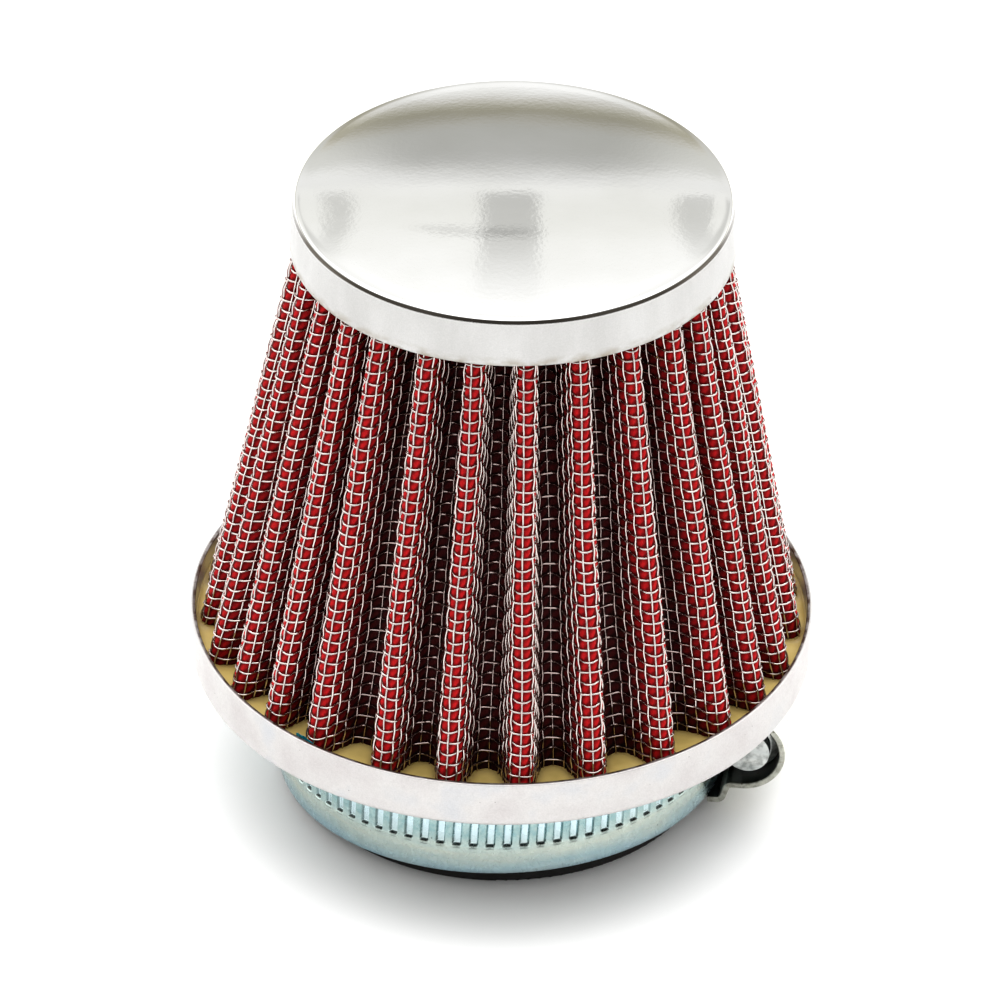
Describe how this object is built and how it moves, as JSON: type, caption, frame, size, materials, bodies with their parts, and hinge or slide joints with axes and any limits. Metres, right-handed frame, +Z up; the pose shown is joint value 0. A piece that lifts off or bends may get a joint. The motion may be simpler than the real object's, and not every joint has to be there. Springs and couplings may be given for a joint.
{
  "type": "clamp-on cone air filter",
  "caption": "Pleated cone air filter with a polished cap, a rubber neck and a worm-drive clamp; red cotton under woven wire, potted in a metal pan.",
  "frame": {"origin": "centre of the rubber neck's mouth, on the plane that the filter stands on", "axes": "+Z up the filter's axis from the neck to the cap, -Y the front, +X the side that the clamp's housing is on at rest"},
  "size_m": [0.075, 0.075, 0.0835],
  "materials": {
    "cap_metal": "polished dome with a satin skirt",
    "pan_metal": "satin",
    "mesh_wire": "bright drawn wire",
    "cotton": "oiled gauze",
    "potting": "semi-gloss resin",
    "neck_rubber": "matte",
    "zinc_steel": "blue-passivated zinc plate"
  },
  "bodies": {
    "filter": {"top_cap": "cap_metal", "top_potting": "potting", "outer_mesh": "mesh_wire", "cotton_outer_ply": "cotton", "cotton_inner_ply": "cotton", "inner_mesh": "mesh_wire", "base_pan": "pan_metal", "base_potting": "potting", "rubber_neck": "neck_rubber"},
    "clamp": {"clamp_band": "zinc_steel", "clamp_housing": "zinc_steel"},
    "strap": {"clamp_strap": "zinc_steel"},
    "screw": {"clamp_screw": "zinc_steel"}
  },
  "joints": [
    {"name": "clamp_swivel", "type": "hinge", "parent": "filter", "child": "clamp", "pos_m": [0, 0, 0.0077], "axis": [0, 0, 1], "continuous": true},
    {"name": "screw_turn", "type": "hinge", "parent": "clamp", "child": "screw", "pos_m": [0.03077, -0.00401, 0.00885], "axis": [0.1311, 0.9906, -0.0391], "range_deg": [-850, 1020]},
    {"name": "band_feed", "type": "hinge", "parent": "clamp", "child": "strap", "pos_m": [0.00015, 0, 0.0077], "axis": [-0.0319, 0.0436, 0.9985], "range_deg": [-12, 10]}
  ],
  "couplings": [
    {"joint": "band_feed", "follows": "screw_turn", "ratio": -0.011765}
  ]
}
